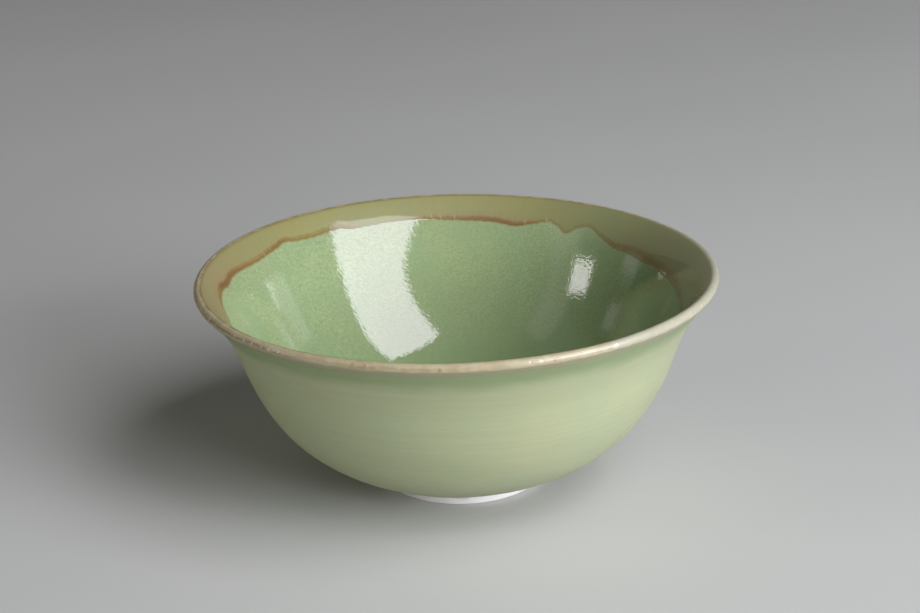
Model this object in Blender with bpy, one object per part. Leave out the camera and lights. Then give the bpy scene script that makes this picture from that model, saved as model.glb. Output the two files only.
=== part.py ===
"""A thrown porcelain rice bowl, and the three glazes fused on to it.

The bowl is turned about +Z and stands on z = 0, on its foot ring.
One curve follows its finished surface: out from the foot, up the belly,
through the waist into the flared lip, over the lip, and down the inside to
the middle of the floor. The clay and each glaze are stretches of that curve,
at their own depths below the surface.
"""

import math

import bmesh
import bpy
import numpy as np

MM = 0.001

# Overall sizes, in millimetres.
RIM_RADIUS = 68.0
HEIGHT = 57.2
FOOT_RADIUS = 21.3
FOOT_HEIGHT = 3.0
FOOT_RING_WIDTH = 4.2
FOOT_RECESS_DEPTH = 2.7
FOOT_BEVEL = 0.5
LIP_THICKNESS = 2.67
FLOOR_HEIGHT = 6.6

# The waist is where the belly's curve turns over into the flare of the lip.
OUTER_WAIST = (57.2, 37.4)
INNER_WAIST = (54.0, 38.4)
OUTER_WAIST_SLOPE = math.radians(70.9)
INNER_WAIST_SLOPE = math.radians(63.0)
FOOT_SLOPE = math.radians(17.7)
LIP_SLOPE = math.radians(45.0)

# How far each end of a curve holds its direction.
OUTER_BELLY_REACH = (23.4, 17.8)
OUTER_FLARE_REACH = (10.4, 6.0)
INNER_FLARE_REACH = (9.6, 4.9)
INNER_BELLY_REACH = (34.2, 20.4)

# The glazes, as depths below the finished surface and places along it.
GLAZE_THICKNESS = 0.35
GAP = 0.3
CLAY_DEPTH = GLAZE_THICKNESS + GAP
BARE_BELLY = 1.6
LIP_BAND_OUTSIDE = 1.2
RIM_BAND_INSIDE = 8.0

# How finely the solids are cut.
TURN_STEPS = 60
CURVE_STEPS = 160
WALL_SPACING = 6.0
LIP_SPACING = 0.52
EDGE_CLEARANCE = 0.2


def clear_scene():
    """Remove whatever the file opened with."""
    for item in list(bpy.data.objects):
        bpy.data.objects.remove(item, do_unlink=True)


def direction(angle):
    """A unit step in the (radius, height) plane."""
    return np.array([math.cos(angle), math.sin(angle)])


def bezier(start, start_angle, end, end_angle, reach):
    """A smooth stretch between two points, with its direction set at each end."""
    start = np.array(start)
    end = np.array(end)
    near = start + reach[0] * direction(start_angle)
    far = end - reach[1] * direction(end_angle)
    t = np.linspace(0.0, 1.0, CURVE_STEPS)[:, None]
    u = 1.0 - t
    return u**3 * start + 3 * u**2 * t * near + 3 * u * t**2 * far + t**3 * end


def lip_arc(centre, radius):
    """The half turn over the lip, from its outer side to its inner side."""
    first = LIP_SLOPE - math.pi / 2
    angles = np.linspace(first, first + math.pi, CURVE_STEPS)
    return centre + radius * np.column_stack([np.cos(angles), np.sin(angles)])


class Surface:
    """The finished surface's outline, measured from the foot to the floor's middle."""

    def __init__(self):
        radius = LIP_THICKNESS / 2
        centre = np.array([RIM_RADIUS - radius, HEIGHT - radius])
        lip = lip_arc(centre, radius)
        foot_top = (FOOT_RADIUS, FOOT_HEIGHT)
        floor = (0.0, FLOOR_HEIGHT)
        outer_turn = (OUTER_WAIST, OUTER_WAIST_SLOPE)
        inner_turn = (INNER_WAIST, INNER_WAIST_SLOPE)
        outer_belly = bezier(foot_top, FOOT_SLOPE, *outer_turn, OUTER_BELLY_REACH)
        outer_flare = bezier(*outer_turn, lip[0], LIP_SLOPE, OUTER_FLARE_REACH)
        inner_belly = bezier(floor, 0.0, *inner_turn, INNER_BELLY_REACH)
        inner_flare = bezier(*inner_turn, lip[-1], LIP_SLOPE, INNER_FLARE_REACH)
        outside = np.vstack([outer_belly[:-1], outer_flare[:-1]])
        inside = np.vstack([inner_flare[::-1][1:], inner_belly[::-1][1:]])
        self.points = np.vstack([outside, lip, inside])
        steps = np.linalg.norm(np.diff(self.points, axis=0), axis=1)
        self.travel = np.concatenate([[0.0], np.cumsum(steps)])
        self.lip_start = self.travel[len(outside)]
        self.lip_end = self.travel[len(outside) + len(lip) - 1]
        self.end = self.travel[-1]
        along = np.gradient(self.points, self.travel, axis=0)
        along /= np.linalg.norm(along, axis=1)[:, None]
        self.inward = np.column_stack([-along[:, 1], along[:, 0]])
        self.inward[-1] = (0.0, -1.0)

    def at(self, place, depth):
        """The point at one place along the curve, the given depth into the wall."""
        point = [np.interp(place, self.travel, self.points[:, i]) for i in range(2)]
        inward = [np.interp(place, self.travel, self.inward[:, i]) for i in range(2)]
        inward = np.array(inward) / np.linalg.norm(inward)
        radius, height = np.array(point) + depth * inward
        return (max(radius, 0.0), height)

    def stations(self):
        """Places along the whole curve that every layer is cut at, closer on the lip."""
        spans = (
            (0.0, self.lip_start, WALL_SPACING),
            (self.lip_start, self.lip_end, LIP_SPACING),
            (self.lip_end, self.end, WALL_SPACING),
        )
        places = [0.0]
        for first, last, spacing in spans:
            count = round((last - first) / spacing)
            places.extend(np.linspace(first, last, count + 1)[1:])
        return places

    def stretch(self, first, last, depth):
        """The curve between two places, at one depth."""
        low = first + EDGE_CLEARANCE
        high = last - EDGE_CLEARANCE
        between = [place for place in self.stations() if low < place < high]
        return [self.at(place, depth) for place in [first, *between, last]]


def material(name, colour, roughness):
    """A plain Principled finish."""
    finish = bpy.data.materials.new(name)
    finish.use_nodes = True
    shader = finish.node_tree.nodes["Principled BSDF"]
    shader.inputs["Base Color"].default_value = (*colour, 1.0)
    shader.inputs["Roughness"].default_value = roughness
    shader.inputs["Metallic"].default_value = 0.0
    finish.diffuse_color = (*colour, 1.0)
    return finish


def turned(name, outline, closed, finish, parent):
    """Turn an outline of (radius, height) points about +Z into one solid.

    The outline runs anticlockwise in the (radius, height) plane. An open one
    starts and ends on the axis; a closed one is a ring's cross-section.
    """
    mesh = bpy.data.meshes.new(name)
    work = bmesh.new()
    corners = [work.verts.new((radius * MM, 0.0, height * MM)) for radius, height in outline]
    edges = [work.edges.new(pair) for pair in zip(corners, corners[1:])]
    if closed:
        edges.append(work.edges.new((corners[-1], corners[0])))
    bmesh.ops.spin(
        work,
        geom=corners + edges,
        axis=(0.0, 0.0, 1.0),
        cent=(0.0, 0.0, 0.0),
        angle=2 * math.pi,
        steps=TURN_STEPS,
        use_merge=True,
    )
    bmesh.ops.remove_doubles(work, verts=work.verts, dist=1e-6)
    bmesh.ops.recalc_face_normals(work, faces=work.faces)
    work.to_mesh(mesh)
    work.free()
    mesh.materials.append(finish)
    mesh.shade_smooth()
    mesh.set_sharp_from_angle(angle=math.radians(40.0))
    piece = bpy.data.objects.new(name, mesh)
    piece.parent = parent
    bpy.context.collection.objects.link(piece)
    return piece


def coat(surface, first, last):
    """The cross-section of a glaze between two places along the surface."""
    skin = surface.stretch(first, last, 0.0)
    back = surface.stretch(first, last, GLAZE_THICKNESS)
    return skin + back[::-1]


def foot_outline(surface):
    """The foot ring's cross-section, from the recess's middle out to the bare belly."""
    inner_radius = FOOT_RADIUS - FOOT_RING_WIDTH
    outline = [
        (0.0, FOOT_RECESS_DEPTH),
        (inner_radius - FOOT_BEVEL, FOOT_RECESS_DEPTH),
        (inner_radius, FOOT_RECESS_DEPTH - FOOT_BEVEL),
        (inner_radius, FOOT_BEVEL),
        (inner_radius + FOOT_BEVEL, 0.0),
        (FOOT_RADIUS - 2 * FOOT_BEVEL, 0.0),
        (FOOT_RADIUS - FOOT_BEVEL, FOOT_BEVEL),
        (FOOT_RADIUS, FOOT_HEIGHT),
    ]
    bare = surface.at(BARE_BELLY, 0.0)
    return [*outline, bare]


def porcelain_body(surface, parent):
    """The thrown wall and its turned foot ring: one piece of clay."""
    finish = material("porcelain", (0.75, 0.74, 0.71), 0.6)
    under_glaze = surface.stretch(BARE_BELLY, surface.end, CLAY_DEPTH)
    outline = foot_outline(surface) + under_glaze
    return turned("porcelain_body", outline, False, finish, parent)


def outer_glaze(surface, parent):
    """The satin celadon outside, from just above the foot to just under the lip."""
    finish = material("outer_celadon", (0.37, 0.40, 0.24), 0.4)
    outline = coat(surface, BARE_BELLY + GAP, surface.lip_start - LIP_BAND_OUTSIDE)
    return turned("outer_glaze", outline, True, finish, parent)


def rim_glaze(surface, parent):
    """The ochre dressing that hooks over the lip and runs down the inner flare."""
    finish = material("rim_ochre", (0.25, 0.22, 0.10), 0.3)
    first = surface.lip_start - LIP_BAND_OUTSIDE + GAP
    outline = coat(surface, first, surface.lip_end + RIM_BAND_INSIDE)
    return turned("rim_glaze", outline, True, finish, parent)


def inner_glaze(surface, parent):
    """The glossy celadon that lines the bowl below the rim's band."""
    finish = material("inner_celadon", (0.23, 0.31, 0.16), 0.1)
    first = surface.lip_end + RIM_BAND_INSIDE + GAP
    skin = surface.stretch(first, surface.end, 0.0)
    back = surface.stretch(first, surface.end, GLAZE_THICKNESS)
    return turned("inner_glaze", skin[::-1] + back, False, finish, parent)


def build():
    """Make the bowl on an empty that stands at the middle of its foot."""
    clear_scene()
    stand = bpy.data.objects.new("rice_bowl", None)
    bpy.context.collection.objects.link(stand)
    surface = Surface()
    for make in (porcelain_body, outer_glaze, rim_glaze, inner_glaze):
        make(surface, stand)


build()
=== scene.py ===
"""The looks of the rice bowl: thrown porcelain under three glazes.

Every surface follows one outline, which runs from the middle of the base, over
the foot ring, up the belly, over the lip and down to the middle of the floor.
Places along it are distances in millimetres, and depths go into the wall.
"""
import math

import bpy
import numpy as np
from mathutils import Matrix, Vector


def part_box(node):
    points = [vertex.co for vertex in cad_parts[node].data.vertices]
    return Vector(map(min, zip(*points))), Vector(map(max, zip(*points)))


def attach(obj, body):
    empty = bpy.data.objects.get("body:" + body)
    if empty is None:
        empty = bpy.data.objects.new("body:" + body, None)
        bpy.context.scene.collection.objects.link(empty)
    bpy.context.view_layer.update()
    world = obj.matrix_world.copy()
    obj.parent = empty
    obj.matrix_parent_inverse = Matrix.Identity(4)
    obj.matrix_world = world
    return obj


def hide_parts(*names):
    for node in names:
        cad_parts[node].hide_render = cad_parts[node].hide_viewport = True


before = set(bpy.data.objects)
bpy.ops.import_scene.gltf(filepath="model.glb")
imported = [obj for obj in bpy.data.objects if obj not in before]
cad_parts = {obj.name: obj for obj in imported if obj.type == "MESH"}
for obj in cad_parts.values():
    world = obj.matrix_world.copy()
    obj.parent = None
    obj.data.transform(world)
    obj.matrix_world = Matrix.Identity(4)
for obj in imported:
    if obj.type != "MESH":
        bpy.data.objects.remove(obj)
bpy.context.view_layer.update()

MM = 0.001
TURN = 2.0 * math.pi

# ---------------------------------------------------------------------------
# Sizes, in millimetres
# ---------------------------------------------------------------------------

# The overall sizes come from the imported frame. The glazes here are half as thick
# as the frame's step from the finished surface down to the clay.
_, clay_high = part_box("porcelain_body")
_, rim_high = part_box("rim_glaze")
RIM_RADIUS = rim_high[0] / MM
HEIGHT = rim_high[2] / MM
GLAZE = (rim_high[0] - clay_high[0]) / MM / 2

# The rest of the outline, drawn as the frame's is.
LIP_RADIUS = 1.335
FOOT_RADIUS = 21.3
FOOT_HEIGHT = 3.0
FOOT_RING_WIDTH = 4.2
RECESS_DEPTH = 2.7
FLOOR_HEIGHT = 6.6
RIM_BAND_OUTSIDE = 1.25
OUTER_WAIST = (57.2, 37.4)
INNER_WAIST = (54.0, 38.4)
OUTER_WAIST_SLOPE = math.radians(70.9)
INNER_WAIST_SLOPE = math.radians(63.0)
FOOT_SLOPE = math.radians(17.7)
LIP_SLOPE = math.radians(45.0)
OUTER_BELLY_REACH = (23.4, 17.8)
OUTER_FLARE_REACH = (10.4, 6.0)
INNER_FLARE_REACH = (9.6, 4.9)
INNER_BELLY_REACH = (34.2, 20.4)

# How many points draw a curve, and how many a rounded corner.
CURVE_STEPS = 240
CORNER_STEPS = 12
# How many of the foot's last points climb past its top, and the belly's point
# where the foot's rounding ends.
FOOT_TOP_STEPS = 20
BELLY_START = 30

# The kiln's slump: the rim is a little out of level and out of round. Each wave
# is (how far it moves the rim, the angle where it is highest or widest).
TILT = (0.77, math.radians(-13))
SADDLE = (0.76, math.radians(-42))
OVAL = (0.82, math.radians(-49))
TRIANGLE = (0.69, math.radians(-53))

# Where the ochre meets the celadon: (angle in degrees, depth below the lip).
GLAZE_LINE = (
    (1, 13.4), (9, 12.1), (18, 11.4), (25, 11.1), (30, 11.0), (36, 10.4), (45, 9.9),
    (49, 8.2), (53, 6.2), (56, 6.7), (60, 9.0), (62, 7.5), (64, 6.5), (69, 7.3),
    (74, 8.4), (80, 7.6), (90, 7.1), (100, 6.3), (108, 6.4), (116, 6.7), (119, 6.6),
    (121, 5.9), (123, 5.8), (126, 6.2), (131, 6.5), (136, 6.0), (139.5, 5.4), (142, 6.0),
    (147, 6.7), (150, 7.1), (158, 6.8), (165, 6.5), (170, 7.1), (173.5, 6.5), (177, 6.8),
    (181.5, 8.0), (186, 10.8), (197, 12.2), (206, 11.0), (214, 11.6), (226, 9.4),
    (233, 10.3), (239, 12.4), (244, 10.2), (257, 9.0), (270, 10.1), (276, 9.0),
    (290, 9.8), (299, 11.9), (305, 10.0), (318, 11.0), (332, 12.6), (341, 11.7),
    (350, 13.4),
)
# The rust along that line: (angle, its width) and (angle, its strength).
RUST_WIDTH = (
    (0, 2.8), (12, 3.4), (25, 3.6), (40, 3.2), (47, 2.2), (53, 1.2), (60, 1.6), (66, 1.3),
    (74, 1.9), (90, 1.7), (98, 1.3), (104, 1.0), (116, 0.9), (120, 1.6), (125, 1.2),
    (131, 1.1), (137, 1.2), (141, 1.7), (150, 1.4), (158, 1.7), (164, 2.4), (172, 2.9),
    (177, 2.4), (184, 2.4), (205, 2.4), (240, 1.5), (280, 1.9), (325, 2.6),
)
RUST_STRENGTH = (
    (0, 0.38), (20, 0.48), (38, 0.46), (47, 0.38), (53, 0.25), (60, 0.40), (66, 0.35),
    (72, 0.85), (90, 0.90), (98, 0.60), (103, 0.25), (115, 0.20), (119, 0.70), (124, 0.60),
    (137, 0.65), (141, 0.85), (150, 0.75), (160, 0.85), (172, 1.00), (180, 0.85), (188, 0.80),
    (240, 0.70), (300, 0.85),
)
# The ochre's cast round the rim: (angle, from -1 for green to 1 for beige).
OCHRE_CAST = (
    (0, -0.3), (25, -0.3), (43, -0.5), (55, -0.6), (63, -0.2), (80, 0.0), (112, -0.1),
    (140, 0.1), (158, 0.5), (175, 0.9), (200, 0.8), (240, 0.2), (300, 0.0),
)
# How much pale reflection is painted into the ochre round the rim, strongest at its right end:
# (angle, amount).
OCHRE_PAINTED_REFLECTION = (
    (0, 0.95), (15, 0.72), (30, 0.40), (45, 0.24), (60, 0.15), (85, 0.12), (100, 0.05),
    (115, 0.0), (200, 0.0), (280, 0.2), (330, 0.95),
)
# How far above the line the ochre is glossy, before it dries to satin: (angle, millimetres).
GLOSS_REACH = (
    (0, 9.0), (15, 6.0), (30, 3.0), (50, 1.5), (70, 0.6), (97, 0.5), (101, 0.8), (106, 1.6),
    (112, 2.0), (119, 2.2), (127, 1.6), (150, 1.6), (180, 2.0), (230, 4.0), (300, 9.0),
)
# How brown the glaze has burnt along the lip, from 0 to 1: (angle, amount).
LIP_BURN = (
    (0, 0.10), (30, 0.25), (58, 0.45), (90, 0.45), (115, 0.60), (140, 0.65), (165, 0.60),
    (190, 0.75), (203, 0.95), (214, 0.85), (228, 0.90), (240, 0.62), (252, 0.60), (268, 0.50),
    (285, 0.42), (299, 0.36), (305, 0.08), (330, 0.0), (345, 0.06),
)
# The outer glaze's lower edge: (angle in degrees, height above the foot's top).
FOOT_LINE = (
    (0, 0.8), (30, 1.1), (60, 0.7), (85, 1.2), (110, 0.9), (150, 1.3), (180, 0.9),
    (215, 1.1), (240, 0.7), (255, 0.1), (263, -0.8), (272, -0.9), (279, -0.1),
    (290, 0.9), (320, 1.2), (345, 0.6),
)


def direction(angle):
    """A unit step in the (radius, height) plane."""
    return np.array([math.cos(angle), math.sin(angle)])


def bezier(start, start_angle, end, end_angle, reach):
    """A smooth stretch between two points, with its direction set at each end."""
    start, end = np.array(start), np.array(end)
    near = start + reach[0] * direction(start_angle)
    far = end - reach[1] * direction(end_angle)
    t = np.linspace(0.0, 1.0, CURVE_STEPS)[:, None]
    u = 1.0 - t
    return u**3 * start + 3 * u**2 * t * near + 3 * u * t**2 * far + t**3 * end


def rounded(corners):
    """Straight runs between (radius, height, rounding) corners, each corner eased."""
    points = [np.array(corners[0][:2])]
    for before, here, after in zip(corners, corners[1:], corners[2:]):
        corner = np.array(here[:2])
        into = np.array(before[:2]) - corner
        out = np.array(after[:2]) - corner
        first = corner + into / np.linalg.norm(into) * here[2]
        last = corner + out / np.linalg.norm(out) * here[2]
        for t in np.linspace(0.0, 1.0, CORNER_STEPS):
            points.append((1 - t) ** 2 * first + 2 * t * (1 - t) * corner + t**2 * last)
    points.append(np.array(corners[-1][:2]))
    return np.array(points)


class Outline:
    """The finished surface, as places along one curve."""

    def __init__(self):
        inner_foot = FOOT_RADIUS - FOOT_RING_WIDTH
        lip_centre = np.array([RIM_RADIUS, HEIGHT]) - LIP_RADIUS
        turn = np.linspace(0.0, math.pi, CURVE_STEPS) + LIP_SLOPE - math.pi / 2
        lip = lip_centre + LIP_RADIUS * np.column_stack([np.cos(turn), np.sin(turn)])
        foot_top = (FOOT_RADIUS, FOOT_HEIGHT)
        belly = bezier(foot_top, FOOT_SLOPE, OUTER_WAIST, OUTER_WAIST_SLOPE, OUTER_BELLY_REACH)
        # The recess with its raised rim, the ring that it stands on, and the ring's side.
        foot = rounded([
            (0.0, RECESS_DEPTH + 0.2, 0.0),
            (inner_foot - 2.0, RECESS_DEPTH - 0.1, 1.4),
            (inner_foot + 0.2, RECESS_DEPTH - 0.7, 0.7),
            (inner_foot + 0.6, 0.0, 0.45),
            (FOOT_RADIUS - 0.75, 0.0, 0.4),
            (FOOT_RADIUS, FOOT_HEIGHT, 0.9),
            (*belly[BELLY_START], 0.0),
        ])
        flare = bezier(OUTER_WAIST, OUTER_WAIST_SLOPE, lip[0], LIP_SLOPE, OUTER_FLARE_REACH)
        inner_waist = (INNER_WAIST, INNER_WAIST_SLOPE)
        inner_flare = bezier(*inner_waist, lip[-1], LIP_SLOPE, INNER_FLARE_REACH)
        inner_belly = bezier((0.0, FLOOR_HEIGHT), 0.0, *inner_waist, INNER_BELLY_REACH)
        stretches = [
            foot, belly[BELLY_START + 1:], flare[1:], lip[1:],
            inner_flare[::-1][1:], inner_belly[::-1][1:],
        ]
        points = np.vstack(stretches)
        ends = np.cumsum([len(stretch) for stretch in stretches]) - 1
        step = np.linalg.norm(np.diff(points, axis=0), axis=1)
        self.travel = np.concatenate([[0.0], np.cumsum(step)])
        self.points = points
        self.lip_start = self.travel[ends[2]]
        self.lip_end = self.travel[ends[3]]
        self.crest = (self.lip_start + self.lip_end) / 2
        foot_side = slice(ends[0] - FOOT_TOP_STEPS, ends[0])
        self.foot_top = np.interp(FOOT_HEIGHT, points[foot_side, 1], self.travel[foot_side])
        self.end = self.travel[-1]
        along = np.gradient(points, self.travel, axis=0)
        along /= np.linalg.norm(along, axis=1)[:, None]
        self.inward = np.column_stack([-along[:, 1], along[:, 0]])
        self.inward[0] = (0.0, 1.0)
        self.inward[-1] = (0.0, -1.0)

    def at(self, place, depth):
        """(radius, height) at places along the outline, at depths into the wall."""
        radius, height = (np.interp(place, self.travel, self.points[:, i]) for i in (0, 1))
        inward = np.stack(
            [np.interp(place, self.travel, self.inward[:, i]) for i in (0, 1)], axis=-1
        )
        inward /= np.linalg.norm(inward, axis=-1, keepdims=True)
        return radius + depth * inward[..., 0], height + depth * inward[..., 1]


outline = Outline()


def slump(angle, radius, height):
    """Move a point of the true round form to where firing left it."""
    lift = np.clip((height - FOOT_HEIGHT) / (HEIGHT - FOOT_HEIGHT), 0.0, 1.0) ** 2
    rise = TILT[0] * np.cos(angle - TILT[1]) + SADDLE[0] * np.cos(2 * (angle - SADDLE[1]))
    swell = OVAL[0] * np.cos(2 * (angle - OVAL[1]))
    swell = swell + TRIANGLE[0] * np.cos(3 * (angle - TRIANGLE[1]))
    radius = radius * (1.0 + lift * swell / RIM_RADIUS)
    points = [radius * np.cos(angle), radius * np.sin(angle), height + lift * rise]
    return np.stack(points, axis=-1) * MM


def around(line, angle):
    """A line given as (degrees, value) points, read smoothly at any angle."""
    degrees, values = np.array(line, float).T
    degrees = np.concatenate([degrees[-2:] - 360, degrees, degrees[:3] + 360])
    values = np.concatenate([values[-2:], values, values[:3]])
    slopes = np.gradient(values, degrees)
    at = np.degrees(angle) % 360.0
    i = np.clip(np.searchsorted(degrees, at, side="right") - 1, 1, len(degrees) - 3)
    span = degrees[i + 1] - degrees[i]
    t = (at - degrees[i]) / span
    start = (1 + 2 * t) * (1 - t) ** 2 * values[i] + t * (1 - t) ** 2 * span * slopes[i]
    end = t * t * (3 - 2 * t) * values[i + 1] - t * t * (1 - t) * span * slopes[i + 1]
    return start + end


def waves(angle, place, count, seed, turns, length):
    """A smooth random ripple made of a few sine waves, about 1 high.

    Each wave has up to the given turns round the bowl, and about the given
    length along the outline.
    """
    pick = np.random.default_rng(seed)
    total = 0.0
    for _ in range(count):
        around_count = pick.integers(-turns, turns + 1)
        along = TURN / (length * pick.uniform(0.7, 1.5))
        total = total + np.sin(around_count * angle + along * place + pick.uniform(0, TURN))
    return total / math.sqrt(count)


# ---------------------------------------------------------------------------
# Relief: what the hands, the wheel and the kiln left on the surface
# ---------------------------------------------------------------------------

# How high the surface ripples: the throwing rings, the wall and the lip.
RINGS_OUTSIDE, RINGS_INSIDE = 0.012, 0.002
WALL_RIPPLE, WALL_RIPPLE_LOST_INSIDE = 0.020, 0.010
LIP_RIPPLE = 0.030
# How far from the lip's crest the lip's ripples die out, and the outside's have
# turned into the inside's.
CREST_BLEND = 4.0
# Nicks across the lip: (angle in degrees, depth, half width in degrees).
LIP_NICKS = ((59.5, 0.30, 0.55), (52.0, 0.12, 0.35), (113.5, 0.13, 0.30), (251.0, 0.10, 0.5))
# A shallow hollow pressed into the inner wall: its depth, where it lies below the
# lip and how far it reaches, and its angle and how far it spreads, in degrees.
HOLLOW_DEPTH = 0.19
HOLLOW_PLACE, HOLLOW_REACH = 20.0, 9.0
HOLLOW_TURN, HOLLOW_SPREAD = 46.0, 17.0
# Little chips that broke the rim's glaze: (angle, degrees; place past the crest; size).
LIP_CHIPS = (
    (193, -0.5, 0.32), (203, -0.5, 0.36), (215, -0.6, 0.26), (218.3, -0.6, 0.22),
    (221, -0.65, 0.26), (224, -0.6, 0.24), (226.4, -0.6, 0.28), (229, -0.6, 0.22),
    (284, -0.4, 0.24), (286.2, -0.45, 0.26), (302.5, -0.4, 0.42), (331, -0.5, 0.2),
    (24, -0.2, 0.22), (82, 0.3, 0.25), (148, -0.3, 0.25), (166, 0.2, 0.2),
)
# Brown iron spots on the lip, laid out in the same way.
LIP_SPOTS = ((247.5, -0.3, 0.24), (250.2, -0.4, 0.26), (266, -0.9, 0.28), (289, -0.9, 0.22))
# A nick's half width along the outline, and a chip's depth and half width in its own sizes.
NICK_REACH = 1.2
CHIP_DEPTH, CHIP_REACH = 0.35, 0.55


def ramp(place, start, length):
    """0 before a place on the outline, rising evenly to 1 after the given length."""
    return np.clip((place - start) / length, 0.0, 1.0)


def degrees_from(angle, turn):
    """How far angles in radians are from one in degrees, from -180 to 180 degrees."""
    return (np.degrees(angle) - turn + 180) % 360 - 180


def turned_rings(angle, place):
    """Throwing rings: close and fine outside, broad and faint inside."""
    outside = RINGS_OUTSIDE * waves(angle, place, 7, 11, 1, 2.6)
    inside = RINGS_INSIDE * waves(angle, place, 5, 12, 2, 7.0)
    inward = ramp(place, outline.crest, CREST_BLEND)
    return outside * (1 - inward) + inside * inward


def relief(angle, place):
    """How far the fired surface stands out of the drawn outline."""
    inward = ramp(place, outline.crest, CREST_BLEND)
    wall = WALL_RIPPLE - WALL_RIPPLE_LOST_INSIDE * inward
    swell = turned_rings(angle, place) + wall * waves(angle, place, 6, 13, 9, 14.0)
    to_lip = np.abs(place - outline.crest)
    near_lip = np.exp(-(to_lip / CREST_BLEND) ** 2)
    swell = swell + LIP_RIPPLE * waves(angle, place * 0.2, 6, 14, 14, 9.0) * near_lip
    for turn, depth, width in LIP_NICKS:
        away = degrees_from(angle, turn)
        swell = swell - depth * np.exp(-(away / width) ** 2 - (to_lip / NICK_REACH) ** 2)
    for turn, past, size in LIP_CHIPS:
        away = degrees_from(angle, turn) * math.radians(RIM_RADIUS)
        across = place - (outline.crest + past)
        chip = np.exp(-(away**2 + across**2) / (CHIP_REACH * size) ** 2)
        swell = swell - CHIP_DEPTH * size * chip
    down = (place - outline.lip_end - HOLLOW_PLACE) / HOLLOW_REACH
    aside = degrees_from(angle, HOLLOW_TURN) / HOLLOW_SPREAD
    swell = swell - HOLLOW_DEPTH * np.exp(-(down**2) - aside**2)
    above_foot = ramp(place, outline.foot_top - 1.0, 2.0)
    from_axis = np.clip((outline.end - place) / 6.0, 0.0, 1.0)
    return swell * above_foot * from_axis


def trimming(angle, place):
    """The turning tool's spiral, its chatter and the nub it left, inside the foot."""
    in_recess = np.clip((FOOT_RADIUS - FOOT_RING_WIDTH - 1.0 - place) / 1.5, 0.0, 1.0)
    spiral = 0.5 + 0.5 * np.cos(place * TURN / 1.9 - angle)
    chatter = 0.25 * waves(angle, place, 6, 21, 24, 3.0)
    nub = 0.25 * np.exp(-(place / 2.2) ** 2)
    return in_recess * (0.09 * spiral**3 + 0.02 * chatter + nub)


def line_place(angle):
    """Where the ochre's lower edge runs inside, with its small scallops."""
    scallop = 0.09 * waves(angle, 0 * angle, 14, 31, 190, 9.0)
    return outline.lip_end + around(GLAZE_LINE, angle) + scallop


def lip_edge_place(angle):
    """Where the rim's glaze gives out below the lip, outside."""
    wander = 0.22 * waves(angle, 0 * angle, 9, 32, 26, 9.0)
    return outline.lip_start - RIM_BAND_OUTSIDE + wander


def foot_edge_place(angle):
    """Where the outer glaze was wiped off above the foot."""
    wiping = 0.06 * waves(angle, 0 * angle, 7, 33, 60, 9.0)
    return outline.foot_top + around(FOOT_LINE, angle) + wiping


# ---------------------------------------------------------------------------
# Meshes
# ---------------------------------------------------------------------------

# How many vertices go round the bowl, and how near the glazes' edges they are FINE.
FINE, MIDDLING, COARSE = 1024, 512, 256
FINE_BELOW_LIP, FINE_ABOVE_LINE, FINE_BELOW_LINE = 2.5, 1.2, 3.6
# How far the middle of the floor is laid as a disc, in the lining and in the clay.
LINING_DISC, CLAY_DISC = 36.0, 30.0
# The gap between neighbours, the rounding of a coat's edge, and how far the bare
# clay next to the outer glaze stands back from its face.
FIT = 0.01
EDGE_ROUND = 0.03
CLAY_BELOW_GLAZE = 0.12


def square_rings(rings):
    """A disc laid on square rings of vertices, so that nothing pinches at its middle.

    Returns each vertex's ring and angle, the quads, and the outer ring in order.
    """
    side = np.arange(-rings, rings + 1)
    x, y = (v.astype(float) for v in np.meshgrid(side, side, indexing="ij"))
    ring = np.maximum(abs(x), abs(y))
    safe = np.maximum(ring, 1.0)
    slant = math.pi / 4 * np.where(abs(x) >= abs(y), y * np.sign(x), -x * np.sign(y)) / safe
    side_angle = np.where(x > 0, 0.0, math.pi)
    top_angle = np.where(y > 0, 0.5 * math.pi, 1.5 * math.pi)
    angle = (np.where(abs(x) >= abs(y), side_angle, top_angle) + slant) % TURN
    number = np.arange(ring.size).reshape(ring.shape)
    quads = np.stack([number[:-1, :-1], number[1:, :-1], number[1:, 1:], number[:-1, 1:]], -1)
    outer = ring == rings
    turn_order = np.round(angle[outer] / TURN * 8 * rings).astype(int) % (8 * rings)
    return ring.ravel(), angle.ravel(), quads.reshape(-1, 4), number[outer][np.argsort(turn_order)]


def knit(first, second):
    """Faces between two closed rings, where one may have twice the other's vertices."""
    ahead, above = np.roll(first, -1), np.roll(second, -1)
    if len(first) == len(second):
        return np.stack([first, ahead, above, second], -1).tolist()
    if len(first) == 2 * len(second):
        return np.stack([first[::2], first[1::2], ahead[1::2], above, second], -1).tolist()
    return np.stack([first, ahead, above[1::2], second[1::2], second[::2]], -1).tolist()


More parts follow.
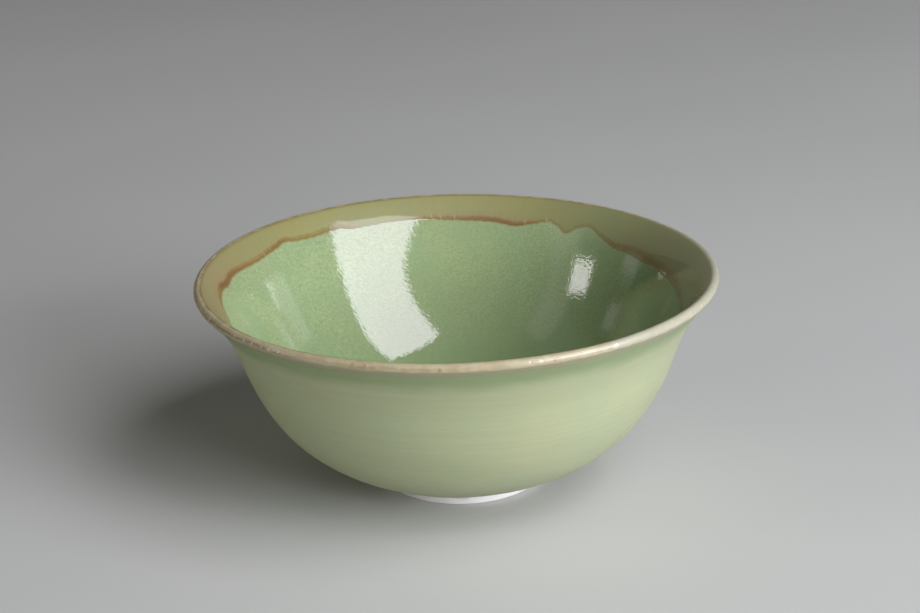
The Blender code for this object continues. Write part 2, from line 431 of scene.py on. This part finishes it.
class Skin:
    """The vertices and faces of one closed piece, gathered ring by ring."""

    def __init__(self):
        self.angles, self.places, self.points, self.faces = [], [], [], []
        self.count = 0

    def add(self, angle, place, depth, raised):
        """Vertices on the outline; the outer skin also carries the relief."""
        if raised:
            depth = depth - relief(angle, place)
        radius, height = outline.at(place, depth)
        self.angles.append(angle.ravel())
        self.places.append(place.ravel())
        self.points.append(slump(angle, radius, height).reshape(-1, 3))
        numbers = np.arange(self.count, self.count + angle.size).reshape(angle.shape)
        self.count += angle.size
        return numbers

    def rings(self, columns, rows, raised=True):
        """One closed ring for each (place, depth) row, where either may vary by angle."""
        angle = np.arange(columns) * TURN / columns
        made = []
        for place, depth in rows:
            place = place(angle) if callable(place) else np.full(columns, float(place))
            depth = depth(angle) if callable(depth) else np.full(columns, float(depth))
            made.append(self.add(angle, place, depth, raised))
        return made

    def cap(self, columns, middle, edge, depth, raised=True):
        """A round end, from the axis out to an even ring of vertices, which it returns."""
        ring, angle, quads, outer = square_rings(columns // 8)
        place = middle + (edge - middle) * ring / ring.max()
        if callable(depth):
            depth = depth(angle, place)
        numbers = self.add(angle, place, depth + 0.0 * place, raised)
        return numbers, quads, outer

    def close(self, cap, facing_up):
        """Add a cap's faces, and return its outer ring."""
        numbers, quads, outer = cap
        quads = numbers[quads]
        self.faces.extend((quads if facing_up else quads[:, ::-1]).tolist())
        return numbers[outer]

    def knit_all(self, rings):
        """Join each ring to the next."""
        for first, second in zip(rings, rings[1:]):
            self.faces.extend(knit(first, second))

    def build(self, name):
        """The finished mesh, with its distances from the glazes' edges kept on it."""
        angle, place = np.concatenate(self.angles), np.concatenate(self.places)
        mesh = bpy.data.meshes.new(name)
        mesh.from_pydata(np.concatenate(self.points).tolist(), [], self.faces)
        mesh.shade_smooth()
        mesh.set_sharp_from_angle(angle=math.radians(60.0))
        marks = {
            "run": place - outline.crest,
            "above_line": line_place(angle) - place,
            "above_foot_edge": place - foot_edge_place(angle),
            "rust_width": around(RUST_WIDTH, angle),
            "rust_strength": around(RUST_STRENGTH, angle),
            "lip_burn": around(LIP_BURN, angle),
            "ochre_cast": around(OCHRE_CAST, angle),
            "ochre_painted_reflection": around(OCHRE_PAINTED_REFLECTION, angle),
            "gloss_reach": around(GLOSS_REACH, angle),
            "streak": waves(angle, 0.0 * angle, 40, 35, 330, 9.0),
        }
        for mark, values in marks.items():
            layer = mesh.attributes.new(mark, "FLOAT", "POINT")
            layer.data.foreach_set("value", values.astype(np.float32))
        piece = bpy.data.objects.new(name, mesh)
        bpy.context.collection.objects.link(piece)
        return piece


def edge_rows(edge, towards):
    """Rows that round a coat's edge over, from the edge itself onto its face."""
    rows = []
    for degrees in (0.0, 30.0, 60.0, 90.0):
        step = EDGE_ROUND * (1 - math.cos(math.radians(degrees))) + FIT / 2
        sink = EDGE_ROUND * (1 - math.sin(math.radians(degrees)))
        rows.append((lambda angle, step=step: edge(angle) + towards * step, sink))
    return rows


def between(first, last, fractions, depth=0.0):
    """Rows spread between two edges, which may be places or functions of the angle."""
    def read(edge, angle):
        return edge(angle) if callable(edge) else edge + 0.0 * angle
    return [
        (lambda angle, f=f: (1 - f) * read(first, angle) + f * read(last, angle), depth)
        for f in fractions
    ]


def beyond(edge, distance):
    """An edge moved along the outline."""
    return lambda angle: edge(angle) + distance


def steps(count):
    """Even fractions that leave out both ends."""
    return np.linspace(0.0, 1.0, count + 2)[1:-1]


def make_outer_coat():
    """The satin celadon outside, from above the foot to under the lip."""
    skin = Skin()
    fine_zone = beyond(lip_edge_place, -FINE_BELOW_LIP)
    front = skin.rings(MIDDLING, edge_rows(foot_edge_place, 1))
    start = beyond(foot_edge_place, EDGE_ROUND)
    front += skin.rings(MIDDLING, between(start, fine_zone, steps(112)))
    front += skin.rings(FINE, between(fine_zone, beyond(lip_edge_place, -EDGE_ROUND), steps(5)))
    front += skin.rings(FINE, edge_rows(lip_edge_place, -1)[::-1])
    back_start, back_end = beyond(lip_edge_place, -FIT), beyond(foot_edge_place, FIT)
    back = skin.rings(FINE, between(back_start, fine_zone, (0.0, 0.5), GLAZE), False)
    down = (0.1, *steps(16)[2:], 1.0)
    back += skin.rings(MIDDLING, between(fine_zone, back_end, down, GLAZE), False)
    skin.knit_all(front + back + front[:1])
    return skin.build("celadon_outside")


def make_rim_coat():
    """The ochre band: it hooks over the lip and down to its dripping lower edge."""
    skin = Skin()
    front = skin.rings(FINE, edge_rows(lip_edge_place, 1))
    start = beyond(lip_edge_place, EDGE_ROUND)
    front += skin.rings(FINE, between(start, outline.lip_start, steps(3)))
    over = between(outline.lip_start, outline.lip_end, np.linspace(0, 1, 20))
    front += skin.rings(FINE, over)
    down = beyond(line_place, -FINE_ABOVE_LINE)
    front += skin.rings(FINE, between(outline.lip_end, down, steps(24)))
    front += skin.rings(FINE, between(down, beyond(line_place, -EDGE_ROUND), steps(8)))
    front += skin.rings(FINE, edge_rows(line_place, -1)[::-1])
    back_start = beyond(line_place, -FIT)
    back = skin.rings(FINE, between(back_start, outline.lip_end, (0.0, 0.5, 1.0), GLAZE), False)
    back += skin.rings(FINE, between(outline.lip_end, outline.lip_start, steps(5), GLAZE), False)
    last = between(outline.lip_start, beyond(lip_edge_place, FIT), (0.0, 1.0), GLAZE)
    back += skin.rings(FINE, last, False)
    skin.knit_all(front + back + front[:1])
    return skin.build("ochre_rim")


def make_inner_coat():
    """The glossy celadon lining, below the ochre."""
    skin = Skin()
    floor_edge = outline.end - LINING_DISC
    fine_zone = beyond(line_place, FINE_BELOW_LINE)
    front = skin.rings(FINE, edge_rows(line_place, 1))
    front += skin.rings(FINE, between(beyond(line_place, EDGE_ROUND), fine_zone, steps(8)))
    front += skin.rings(MIDDLING, between(fine_zone, floor_edge, steps(76)))
    cap = skin.cap(MIDDLING, outline.end, floor_edge, 0.0)
    front.append(skin.close(cap, True))
    skin.knit_all(front)
    back_cap = skin.cap(COARSE, outline.end, floor_edge, GLAZE, False)
    back = [skin.close(back_cap, False)]
    back += skin.rings(COARSE, between(floor_edge, fine_zone, steps(12), GLAZE), False)
    back_end = beyond(line_place, FIT)
    back += skin.rings(MIDDLING, between(fine_zone, back_end, (0.2,), GLAZE), False)
    back += skin.rings(FINE, between(fine_zone, back_end, (0.6, 1.0), GLAZE), False)
    skin.knit_all(back + front[:1])
    return skin.build("celadon_inside")


def clay_depth(angle, place):
    """The clay lies bare on the foot and drops below the glazes above it."""
    under = ramp(place, foot_edge_place(angle) - 0.15, 0.2)
    bare = ramp(place, outline.foot_top - 2.4, 1.0) * CLAY_BELOW_GLAZE
    return bare + (GLAZE + FIT - bare) * under - trimming(angle, place)


def make_clay():
    """The thrown clay: wall, lip and turned foot in one."""
    skin = Skin()

    def rows(first, last, spacing):
        """Rows at the clay's own depth, about so far apart, after the first place."""
        count = max(2, round((last - first) / spacing))
        places = np.linspace(first, last, count + 1)[1:]
        return [(p, lambda angle, p=p: clay_depth(angle, p + 0.0 * angle)) for p in places]

    recess_edge = FOOT_RADIUS - FOOT_RING_WIDTH - 3.0
    under_cap = skin.cap(MIDDLING, 0.0, recess_edge, clay_depth, False)
    wall = [skin.close(under_cap, False)]
    ring_side, glazed = outline.foot_top - 3.2, outline.foot_top + 2.0
    wall += skin.rings(MIDDLING, rows(recess_edge, ring_side, 0.17), False)
    wall += skin.rings(MIDDLING, rows(ring_side, glazed, 0.13), False)
    wall += skin.rings(COARSE, rows(glazed, outline.lip_start, 2.2), False)
    wall += skin.rings(COARSE, rows(outline.lip_start, outline.lip_end, 0.4), False)
    floor_edge = outline.end - CLAY_DISC
    wall += skin.rings(COARSE, rows(outline.lip_end, floor_edge - 2.0, 2.2), False)
    top_cap = skin.cap(COARSE, outline.end, floor_edge, GLAZE + FIT, False)
    wall.append(skin.close(top_cap, True))
    skin.knit_all(wall)
    return skin.build("clay_body")


# ---------------------------------------------------------------------------
# Materials
# ---------------------------------------------------------------------------

# The Mix node's sockets for colours.
COLOUR_A, COLOUR_B, COLOUR_OUT = 6, 7, 2
# How grain of one size is moved aside, so that no two materials share a pattern.
SHIFT_WAY = (7, 5, 9)
# How many of its sizes a lip mark's colour reaches, and how ragged its edge is.
MARK_SPREAD, MARK_RAGGEDNESS = 2.6, 3.2


class Recipe:
    """A material's node tree, with short words for the nodes that it needs."""

    def __init__(self, name):
        self.material = bpy.data.materials.new(name)
        self.material.use_nodes = True
        self.tree = self.material.node_tree
        self.shader = self.tree.nodes["Principled BSDF"]
        self.coords = self.tree.nodes.new("ShaderNodeTexCoord").outputs["Object"]

    def node(self, kind, inputs=(), **settings):
        """A new node with its settings, and its inputs fed."""
        made = self.tree.nodes.new(kind)
        for key, value in settings.items():
            setattr(made, key, value)
        for socket, value in dict(inputs).items():
            self.feed(made.inputs[socket], value)
        return made

    def feed(self, socket, value):
        """Link a socket to another one, or give it a value of its own."""
        if isinstance(value, bpy.types.NodeSocket):
            self.tree.links.new(value, socket)
        elif isinstance(value, tuple) and socket.type == "RGBA":
            socket.default_value = (*value, 1.0)
        else:
            socket.default_value = value

    def mark(self, name):
        """A distance kept on the mesh, in millimetres."""
        return self.node("ShaderNodeAttribute", attribute_name=name).outputs["Fac"]

    def math(self, operation, first, second=0.5, clamp=False):
        """One step of arithmetic on sockets or numbers."""
        made = self.node("ShaderNodeMath", {0: first, 1: second}, operation=operation)
        made.use_clamp = clamp
        return made.outputs[0]

    def remap(self, value, low, high, to_low=0.0, to_high=1.0, smooth=True):
        """Carry a range of values on to another, held flat beyond both ends."""
        made = self.node(
            "ShaderNodeMapRange",
            {"Value": value, "From Min": low, "From Max": high, "To Min": to_low, "To Max": to_high},
            interpolation_type="SMOOTHSTEP" if smooth else "LINEAR",
        )
        return made.outputs["Result"]

    def mix(self, amount, first, second):
        """The first colour, with the given amount of the second in its place."""
        made = self.node("ShaderNodeMix", data_type="RGBA")
        self.feed(made.inputs["Factor"], amount)
        self.feed(made.inputs[COLOUR_A], first)
        self.feed(made.inputs[COLOUR_B], second)
        return made.outputs[COLOUR_OUT]

    def speckle(self, colour, dots, amount, speck):
        """A colour with specks of another in it."""
        return self.mix(self.math("MULTIPLY", dots, amount), colour, speck)

    def grain(self, size, detail=2.0, stretch=(1.0, 1.0, 1.0), rough=0.5, shift=0.0, lean=0.0):
        """Noise whose blobs are about the given size in millimetres, drawn out by stretch.

        Lean turns the way that they are drawn out, in the X and Z plane.
        """
        placed = self.node("ShaderNodeMapping", {"Vector": self.coords}, vector_type="TEXTURE")
        placed.inputs["Location"].default_value = tuple(shift * MM * way for way in SHIFT_WAY)
        placed.inputs["Rotation"].default_value = (0.0, math.radians(lean), 0.0)
        placed.inputs["Scale"].default_value = tuple(size * MM * s for s in stretch)
        noise = self.node("ShaderNodeTexNoise", {"Vector": placed.outputs[0], "Scale": 1.0})
        noise.inputs["Detail"].default_value = detail
        noise.inputs["Roughness"].default_value = rough
        return noise.outputs["Fac"]

    def dots(self, spacing, radius, keep, shift=0.0):
        """Sparse round specks: 1 at a speck's middle, falling to 0 at its edge."""
        placed = self.node("ShaderNodeMapping", {"Vector": self.coords})
        placed.inputs["Scale"].default_value = (1.0 / (spacing * MM),) * 3
        placed.inputs["Location"].default_value = (shift, shift, shift)
        cells = self.node("ShaderNodeTexVoronoi", {"Vector": placed.outputs[0], "Scale": 1.0})
        chance = self.node("ShaderNodeSeparateColor", {0: cells.outputs["Color"]})
        kept = self.math("LESS_THAN", chance.outputs[0], keep)
        size = self.remap(chance.outputs[1], 0.0, 1.0, 0.35, 1.0, smooth=False)
        reach = self.math("MULTIPLY", size, radius / spacing)
        away = self.math("DIVIDE", cells.outputs["Distance"], reach)
        return self.math("MULTIPLY", self.math("SUBTRACT", 1.0, away, True), kept)

    def near_marks(self, marks, raggedness):
        """1 in the middle of any of the lip's marks, falling to 0 at its ragged edge."""
        nearest = 0.0
        for turn, past, size in marks:
            radius, height = outline.at(outline.crest + past, 0.0)
            middle = slump(math.radians(turn), radius, height)
            away = self.node("ShaderNodeVectorMath", {0: self.coords}, operation="DISTANCE")
            away.inputs[1].default_value = tuple(middle)
            reach = size * MARK_SPREAD * MM
            near = self.math("DIVIDE", self.math("SUBTRACT", reach, away.outputs["Value"]), reach)
            nearest = self.math("MAXIMUM", nearest, near)
        ragged = self.math("MULTIPLY", self.math("SUBTRACT", raggedness, 0.5), MARK_RAGGEDNESS)
        ragged = self.math("MULTIPLY", ragged, self.remap(nearest, 0.0, 0.25))
        return self.remap(self.math("ADD", nearest, ragged), 0.25, 0.55)

    def bump(self, layers):
        """Stack (height, depth in millimetres) layers into one normal."""
        normal = None
        for height, depth in layers:
            made = self.node("ShaderNodeBump", {"Height": height})
            made.inputs["Strength"].default_value = 1.0
            made.inputs["Distance"].default_value = depth * MM
            if normal is not None:
                self.feed(made.inputs["Normal"], normal)
            normal = made.outputs["Normal"]
        self.feed(self.shader.inputs["Normal"], normal)

    def finish(self, colour, roughness, **settings):
        """Set the shader's own values, and return the material."""
        self.feed(self.shader.inputs["Base Color"], colour)
        self.feed(self.shader.inputs["Roughness"], roughness)
        for name, value in settings.items():
            self.shader.inputs[name.replace("_", " ")].default_value = value
        return self.material


def celadon_inside_material():
    """Glossy celadon: mottled green glass, with fine runs, specks and orange peel."""
    r = Recipe("celadon_inside")
    run = r.mark("run")
    below = r.math("MULTIPLY", r.mark("above_line"), -1.0)
    streaks = r.grain(0.30, 1.0, (3.2, 1.2, 1.0), 0.5, 3.0, 38.0)
    clouds = r.grain(9.0, 3.0, (1.0, 1.0, 1.6), 0.55, 8.0)
    drifts = r.grain(34.0, 1.0, shift=15.0)
    colour = r.mix(r.remap(streaks, 0.32, 0.68), (0.205, 0.266, 0.127), (0.282, 0.358, 0.176))
    colour = r.mix(r.remap(clouds, 0.35, 0.68, 0.0, 0.40), colour, (0.195, 0.290, 0.150))
    colour = r.mix(r.remap(drifts, 0.40, 0.62, 0.0, 0.35), colour, (0.245, 0.300, 0.145))
    colour = r.mix(r.remap(run, 30.0, 58.0, 0.0, 0.6), colour, (0.275, 0.385, 0.180))
    colour = r.mix(r.remap(below, 0.0, 1.4, 0.35, 0.0), colour, (0.275, 0.290, 0.165))
    stain = r.math("MULTIPLY", r.remap(below, 0.0, 0.6, 0.50, 0.0), r.mark("rust_strength"))
    colour = r.mix(stain, colour, (0.190, 0.125, 0.045))
    colour = r.speckle(colour, r.dots(4.2, 0.30, 0.42, 2.0), 0.6, (0.075, 0.105, 0.045))
    colour = r.speckle(colour, r.dots(9.0, 0.26, 0.25, 7.0), 0.7, (0.080, 0.055, 0.025))
    peel = r.grain(0.62, 1.0, (1.9, 1.1, 1.0), 0.5, 21.0, 38.0)
    r.bump(((peel, 0.021),))
    tint = (1.0, 0.90, 0.98, 1.0)
    return r.finish(colour, 0.05, IOR=1.5, Specular_IOR_Level=0.80, Specular_Tint=tint)


def ochre_colour(r, streak):
    """Ochre that turns greener or more beige round the rim, with a pale painted reflection at its
    right end.
    """
    fine = r.grain(0.45, 2.0, (1.0, 1.0, 1.8), 0.6, 6.0)
    clouds = r.grain(10.0, 2.0, shift=11.0)
    ochre = r.mix(r.remap(clouds, 0.35, 0.65), (0.204, 0.193, 0.055), (0.184, 0.190, 0.060))
    ochre = r.mix(r.remap(streak, -1.6, 1.8, 0.0, 0.18), ochre, (0.240, 0.222, 0.082))
    ochre = r.mix(r.remap(fine, 0.25, 0.75, 0.0, 0.25), ochre, (0.158, 0.148, 0.058))
    cast = r.mark("ochre_cast")
    ochre = r.mix(r.remap(cast, 0.0, -1.0, 0.0, 0.55, False), ochre, (0.150, 0.205, 0.078))
    ochre = r.mix(r.remap(cast, 0.0, 1.0, 0.0, 0.80, False), ochre, (0.226, 0.183, 0.090))
    # Painted reflection: the ochre is mixed paler by the table's amount, most at the right end.
    return r.mix(r.mark("ochre_painted_reflection"), ochre, (0.362, 0.358, 0.230))


def rusted(r, ochre, above, streak):
    """A soft haze of rust, and in it a ragged band, darkest a little above the line."""
    ragged = r.math("ADD", above, r.math("MULTIPLY", streak, 0.16))
    climb = r.math("DIVIDE", ragged, r.mark("rust_width"))
    strength = r.mark("rust_strength")
    haze = r.math("MULTIPLY", r.remap(climb, 1.9, 0.3), strength)
    colour = r.mix(r.math("MULTIPLY", haze, 0.55), ochre, (0.222, 0.150, 0.082))
    band = r.math("MULTIPLY", r.remap(climb, 1.0, 0.30), r.remap(climb, -0.25, 0.30, 0.35, 1.0))
    rust = r.math("MULTIPLY", band, strength)
    colour = r.mix(r.remap(rust, 0.0, 0.75, 0.0, 0.72), colour, (0.195, 0.118, 0.036))
    return r.mix(r.remap(rust, 0.55, 1.0, 0.0, 0.55), colour, (0.135, 0.072, 0.022))


def lip_cream(r, wander, burn):
    """Cream and gold over the clay, with brown along the lip's outer shoulder."""
    mottle = r.remap(r.grain(2.6, 3.0, shift=44.0), 0.34, 0.66)
    cream = r.mix(mottle, (0.352, 0.338, 0.240), (0.378, 0.370, 0.275))
    gold = r.mix(mottle, (0.365, 0.308, 0.180), (0.415, 0.366, 0.232))
    cream = r.mix(r.remap(burn, 0.05, 0.55), cream, gold)
    shoulder = r.remap(r.math("ABSOLUTE", r.math("ADD", wander, 0.75)), 0.10, 0.60, 1.0, 0.0)
    patchy = r.remap(r.grain(1.8, 3.0, (1.0, 1.0, 0.5), shift=47.0), 0.32, 0.62, 0.35, 1.0)
    patches = r.math("MULTIPLY", shoulder, patchy)
    brown = r.math("MULTIPLY", patches, r.remap(burn, 0.2, 0.95, 0.0, 0.70))
    cream = r.mix(brown, cream, (0.190, 0.120, 0.058))
    return r.speckle(cream, r.dots(5.0, 0.50, 0.25, 5.0), 0.45, (0.200, 0.120, 0.050))


def ochre_rim_material():
    """The rim's glaze: rust at its lower edge, ochre above, cream where it thins on the lip."""
    r = Recipe("ochre_rim")
    run, above, streak = r.mark("run"), r.mark("above_line"), r.mark("streak")
    colour = rusted(r, ochre_colour(r, streak), above, streak)
    # The glaze thins over the lip: a brown line, then cream over the clay.
    burn = r.mark("lip_burn")
    hem = r.remap(r.math("ABSOLUTE", r.math("SUBTRACT", run, 1.6)), 0.1, 0.75, 0.60, 0.0)
    colour = r.mix(r.math("MULTIPLY", hem, burn), colour, (0.185, 0.125, 0.055))
    wander = r.math("ADD", run, r.remap(r.grain(3.0, 2.0, shift=41.0), 0.3, 0.7, -0.25, 0.25))
    colour = r.mix(r.remap(wander, 1.55, 0.95), colour, lip_cream(r, wander, burn))
    # Iron spots the lip, and chips show the white clay, painted pale enough to stand for their
    # glints as well.
    ragged_edge = r.grain(0.30, 2.0, shift=61.0)
    chips_and_glints = r.near_marks(LIP_CHIPS, ragged_edge)
    iron = r.near_marks(LIP_SPOTS, ragged_edge)
    colour = r.speckle(colour, iron, 0.60, (0.230, 0.130, 0.050))
    # Chips: partly the bared clay, partly a painted glint.
    colour = r.speckle(colour, chips_and_glints, 0.70, (0.640, 0.585, 0.490))
    # Outside, it greys into the celadon below.
    colour = r.mix(r.remap(wander, -1.1, -1.9), colour, (0.305, 0.285, 0.175))
    # Short raised ticks cross the ochre's lower edge; their pale colour is a painted glint.
    near_line = r.remap(r.math("ABSOLUTE", r.math("SUBTRACT", above, 0.5)), 1.1, 0.2)
    ticks_and_glints = r.math("MULTIPLY", r.remap(streak, 0.9, 2.0), near_line)
    # Painted glints: pale colour laid along the raised ticks.
    colour = r.speckle(colour, ticks_and_glints, 0.40, (0.470, 0.410, 0.270))
    peel = r.grain(0.7, 1.0, shift=51.0)
    r.bump(((peel, 0.008), (ticks_and_glints, 0.05), (chips_and_glints, -0.06)))
    # It stays glossy for a way above the line, and dries to satin between there and the lip.
    dry = r.math("SUBTRACT", above, r.mark("gloss_reach"))
    satin = r.remap(dry, -0.35, 0.45, 0.12, 0.60)
    rough = r.math("MINIMUM", satin, r.remap(run, 1.2, 2.6, 0.30, 0.60))
    return r.finish(colour, rough, IOR=1.5, Specular_IOR_Level=0.5)


def celadon_outside_material():
    """Satin celadon, darker green under the lip, partly pooled glaze and partly painted shade, and
    scored by faint throwing lines.
    """
    r = Recipe("celadon_outside")
    run, above_foot = r.mark("run"), r.mark("above_foot_edge")
    fine = r.grain(0.45, 3.0, (1.0, 1.0, 1.4), 0.65, 5.0)
    clouds = r.grain(13.0, 3.0, (1.0, 1.0, 2.2), 0.55, 9.0)
    drifts = r.grain(45.0, 1.0, shift=14.0)
    lines = r.grain(1.0, 3.0, (42.0, 42.0, 1.0), 0.62, 17.0)
    colour = r.mix(r.remap(clouds, 0.34, 0.66), (0.372, 0.398, 0.226), (0.349, 0.396, 0.235))
    colour = r.mix(r.remap(drifts, 0.40, 0.62, 0.0, 0.5), colour, (0.327, 0.380, 0.222))
    colour = r.mix(r.remap(fine, 0.28, 0.72, 0.0, 0.25), colour, (0.445, 0.470, 0.310))
    colour = r.mix(r.remap(lines, 0.36, 0.64, 0.16, 0.0), colour, (0.270, 0.285, 0.135))
    wander = r.math("ADD", run, r.remap(r.grain(11.0, 2.0, shift=23.0), 0.3, 0.7, -0.7, 0.7))
    # Darker green under the lip: partly pooled glaze, partly painted shade.
    pooled_and_shaded = r.remap(wander, -12.5, -7.0, 0.0, 0.85)
    colour = r.mix(pooled_and_shaded, colour, (0.235, 0.308, 0.142))
    colour = r.mix(r.remap(run, -4.4, -3.2, 0.0, 0.80), colour, (0.292, 0.285, 0.160))
    colour = r.mix(r.remap(above_foot, 5.0, 0.4, 0.0, 0.45), colour, (0.300, 0.320, 0.195))
    colour = r.mix(r.remap(above_foot, 0.85, 0.1, 0.0, 0.9), colour, (0.320, 0.215, 0.085))
    colour = r.speckle(colour, r.dots(7.0, 0.34, 0.40, 3.0), 0.5, (0.150, 0.140, 0.065))
    pits = r.dots(11.0, 0.32, 0.35, 13.0)
    colour = r.speckle(colour, pits, 0.7, (0.640, 0.630, 0.540))
    satin = r.grain(0.75, 2.0, shift=33.0)
    r.bump(((lines, 0.010), (satin, 0.010), (pits, -0.05)))
    rough = r.remap(clouds, 0.3, 0.7, 0.36, 0.44)
    return r.finish(colour, rough, IOR=1.5, Specular_IOR_Level=0.4)


def bare_porcelain_material():
    """Unglazed porcelain: chalky white, lightly toasted next to the glaze."""
    r = Recipe("bare_porcelain")
    above_foot = r.mark("above_foot_edge")
    clouds = r.grain(6.0, 3.0, shift=3.0)
    fine = r.grain(0.30, 3.0, rough=0.7, shift=8.0)
    colour = r.mix(r.remap(clouds, 0.35, 0.65), (0.760, 0.745, 0.715), (0.690, 0.680, 0.655))
    colour = r.mix(r.remap(fine, 0.3, 0.7, 0.0, 0.3), colour, (0.830, 0.820, 0.800))
    edge = r.math("ADD", above_foot, r.remap(clouds, 0.3, 0.7, -0.2, 0.25))
    colour = r.mix(r.remap(edge, -0.75, 0.0, 0.0, 0.45), colour, (0.560, 0.400, 0.250))
    colour = r.speckle(colour, r.dots(4.0, 0.22, 0.35, 6.0), 0.7, (0.190, 0.150, 0.110))
    r.bump(((fine, 0.010), (r.grain(0.9, 2.0, shift=19.0), 0.012)))
    rough = r.remap(clouds, 0.3, 0.7, 0.55, 0.68)
    return r.finish(colour, rough, IOR=1.5, Specular_IOR_Level=0.35)


def floor_material():
    """Pale grey studio board."""
    r = Recipe("studio_floor")
    cloud = r.grain(180.0, 2.0, shift=2.0)
    colour = r.mix(r.remap(cloud, 0.3, 0.7), (0.482, 0.488, 0.457), (0.498, 0.504, 0.473))
    return r.finish(colour, 0.55, IOR=1.45, Specular_IOR_Level=0.25)


# ---------------------------------------------------------------------------
# The studio
# ---------------------------------------------------------------------------

# The camera stands back from the bowl's foot, in metres, up by the first angle,
# and looks down by the second.
CAMERA_DISTANCE = 0.670
CAMERA_HEIGHT_ANGLE = math.radians(23.8)
CAMERA_PITCH = math.radians(20.0)
CAMERA_YAW = math.radians(0.04)
CAMERA_ROLL = math.radians(-1.59)
CAMERA_LENS = 97.8
CAMERA_SENSOR = 36.0

# The floor's half width and how far it lies below the foot, in metres.
FLOOR_HALF, FLOOR_DROP = 3.0, 0.00002

ROOM_LIGHT, ROOM_STRENGTH = (1.0, 0.97, 0.90, 1.0), 0.016
KEY_TINT = (0.915, 0.915, 1.0)
FILL_TINT = (1.0, 0.97, 0.88)
LOW_TINT = (1.0, 0.95, 0.74)
WINDOW_TINT = (0.96, 1.0, 0.94)
PLAIN_TINT = (1.0, 1.0, 1.0)

# Soft panels: (name, azimuth, elevation, distance, width, height, power, tint, roll).
# Angles are in degrees, with azimuth from +X towards +Y; sizes are in metres.
PANELS = (
    ("key_softbox", -35.9, 45.2, 1.33, 0.79, 0.937, 15.4, KEY_TINT, 0.0),
    ("key_foot", -46, 18, 1.3, 0.92, 0.42, 20.5, KEY_TINT, 0.0),
    ("left_low", -158, 3, 1.6, 0.80, 0.14, 2.7, LOW_TINT, 0.0),
    ("left_window", -167.5, 22.6, 1.4, 0.290, 0.305, 1.68, WINDOW_TINT, 21.0),
    ("left_wall", -158, 28, 1.9, 0.50, 1.50, 0.77, FILL_TINT, 0.0),
    ("left_ceiling", -172, 43, 1.9, 1.50, 0.62, 0.30, FILL_TINT, 0.0),
    ("back_fill", 95, 42, 1.7, 1.40, 0.80, 1.0, FILL_TINT, 0.0),
    ("right_wall", 50, 42, 1.9, 1.20, 0.90, 0.8, PLAIN_TINT, 0.0),
    ("back_left_panel", 159, 18.7, 1.6, 0.30, 0.14, 0.075, PLAIN_TINT, 27.0),
    ("back_left_lamp", 137, 7.4, 1.6, 0.13, 0.13, 0.10, PLAIN_TINT, 17.0),
    ("back_right_panel", 22, 16.5, 1.6, 0.34, 0.28, 0.24, PLAIN_TINT, -25.0),
    ("back_right_edge", 29, 13, 1.6, 0.07, 0.31, 0.13, PLAIN_TINT, 0.0),
    ("back_right_lamp", 44, 7, 1.6, 0.05, 0.22, 0.05, PLAIN_TINT, 0.0),
)


def make_camera():
    """A long lens a little above the bowl, held slightly out of level."""
    data = bpy.data.cameras.new("camera")
    data.lens = CAMERA_LENS
    data.sensor_width = CAMERA_SENSOR
    camera = bpy.data.objects.new("camera", data)
    bpy.context.collection.objects.link(camera)
    back = CAMERA_DISTANCE * math.cos(CAMERA_HEIGHT_ANGLE)
    up = CAMERA_DISTANCE * math.sin(CAMERA_HEIGHT_ANGLE)
    yaw = Matrix.Rotation(-CAMERA_YAW, 4, "Z")
    pitch = Matrix.Rotation(math.pi / 2 - CAMERA_PITCH, 4, "X")
    roll = Matrix.Rotation(CAMERA_ROLL, 4, "Z")
    camera.matrix_world = Matrix.Translation((0.0, -back, up)) @ (yaw @ pitch) @ roll
    bpy.context.scene.camera = camera


def make_light(name, azimuth, elevation, distance, width, height, power, tint, roll):
    """A soft panel that faces the bowl's middle."""
    data = bpy.data.lights.new(name, "AREA")
    data.shape = "RECTANGLE"
    data.size, data.size_y = width, height
    data.energy = power
    data.color = tint
    light = bpy.data.objects.new(name, data)
    bpy.context.collection.objects.link(light)
    a, e = math.radians(azimuth), math.radians(elevation)
    away = Vector((math.cos(a) * math.cos(e), math.sin(a) * math.cos(e), math.sin(e)))
    light.location = away * distance + Vector((0.0, 0.0, HEIGHT * MM / 2))
    light.rotation_mode = "QUATERNION"
    turn = Matrix.Rotation(math.radians(roll), 3, "Z").to_quaternion()
    light.rotation_quaternion = away.to_track_quat("Z", "Y") @ turn


def make_stage():
    """A wide pale floor under the foot ring."""
    mesh = bpy.data.meshes.new("studio_floor")
    ways = ((-1, -1), (1, -1), (1, 1), (-1, 1))
    corners = [(x * FLOOR_HALF, y * FLOOR_HALF, -FLOOR_DROP) for x, y in ways]
    mesh.from_pydata(corners, [], [(0, 1, 2, 3)])
    mesh.materials.append(floor_material())
    floor = bpy.data.objects.new("studio_floor", mesh)
    bpy.context.collection.objects.link(floor)


def make_studio():
    """Plain colours, a dim room and the panels."""
    scene = bpy.context.scene
    scene.view_settings.view_transform = "Standard"
    scene.view_settings.look = "None"
    world = bpy.data.worlds.new("studio")
    world.use_nodes = True
    room = world.node_tree.nodes["Background"]
    room.inputs["Color"].default_value = ROOM_LIGHT
    room.inputs["Strength"].default_value = ROOM_STRENGTH
    scene.world = world
    for panel in PANELS:
        make_light(*panel)


# ---------------------------------------------------------------------------
# The bowl
# ---------------------------------------------------------------------------

# (how it is made, its finish, the CAD node it stands for, that node's material slot)
PIECES = (
    (make_clay, bare_porcelain_material, "porcelain_body", "bare_porcelain"),
    (make_outer_coat, celadon_outside_material, "outer_glaze", "outer_celadon"),
    (make_rim_coat, ochre_rim_material, "rim_glaze", "rim_ochre"),
    (make_inner_coat, celadon_inside_material, "inner_glaze", "inner_celadon"),
)


def make_bowl():
    """Every piece, with its finish, on the one body that the bowl has."""
    for make, make_material, node, slot in PIECES:
        piece = make()
        piece.data.materials.append(make_material())
        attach(piece, "root")
        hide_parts(node)


make_stage()
make_camera()
make_studio()
make_bowl()
